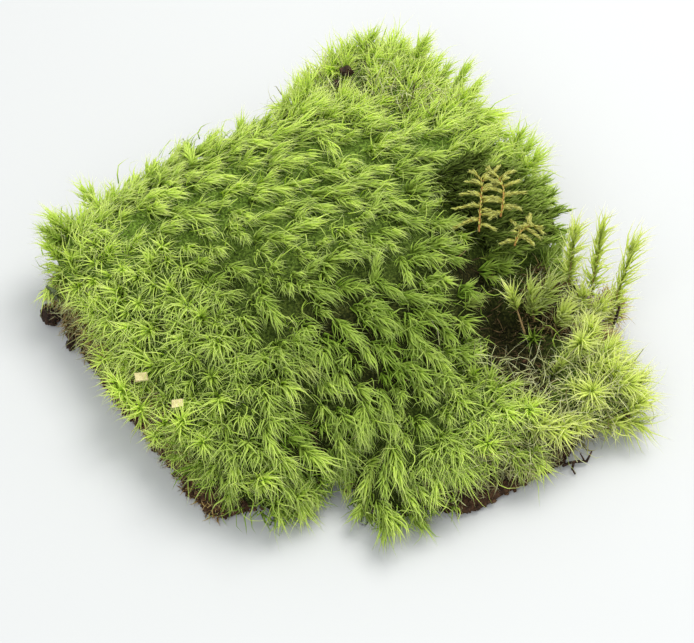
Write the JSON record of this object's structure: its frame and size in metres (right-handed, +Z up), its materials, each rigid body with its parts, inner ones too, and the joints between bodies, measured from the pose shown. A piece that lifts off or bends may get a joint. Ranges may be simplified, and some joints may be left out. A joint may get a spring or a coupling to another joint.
{
  "type": "moss clump",
  "caption": "Cut clump of yellow-green broom moss on a thin mat of brown soil, with a darker moss patch, feather moss fronds and loose shoots.",
  "frame": {"origin": "on the flat cut, under the middle of the whole clump's box", "axes": "+Z up, away from the cut; -Y towards the viewer; +X to the viewer's right, along the clump's greatest width"},
  "size_m": [0.2238, 0.2058, 0.0596],
  "materials": {
    "moss_cushion": "soft, fine hair-like leaves",
    "loose_shoot": "soft, fine hair-like leaves",
    "dark_moss_patch": "soft, dense short leaves",
    "feather_frond": "dry, matt leaves",
    "soil_mat": "crumbly, matt",
    "bark_crumb": "rough, matt",
    "dead_root": "rough, matt",
    "pale_chip": "dry, matt",
    "wet_scrap": "wet, soft"
  },
  "bodies": {
    "root": {"bark_crumb_large": "bark_crumb", "bark_crumb_small": "bark_crumb", "dark_moss_patch": "dark_moss_patch", "dead_needle": "dead_root", "feather_frond_left": "feather_frond", "feather_frond_low": "feather_frond", "feather_frond_right": "feather_frond", "left_clod": "bark_crumb", "left_crumb": "bark_crumb", "loose_shoot_back_plume": "loose_shoot", "loose_shoot_bare_stem": "loose_shoot", "loose_shoot_front_left_plume": "loose_shoot", "loose_shoot_front_plume": "loose_shoot", "loose_shoot_front_right_plume": "loose_shoot", "loose_shoot_left_plume": "loose_shoot", "loose_shoot_rosette": "loose_shoot", "loose_shoot_tall_back": "loose_shoot", "loose_shoot_tall_left": "loose_shoot", "loose_shoot_tall_right": "loose_shoot", "moss_cushion": "moss_cushion", "pale_chip_lower": "pale_chip", "pale_chip_upper": "pale_chip", "rootlet": "dead_root", "soil_mat": "soil_mat", "wet_scrap": "wet_scrap"}
  },
  "joints": []
}
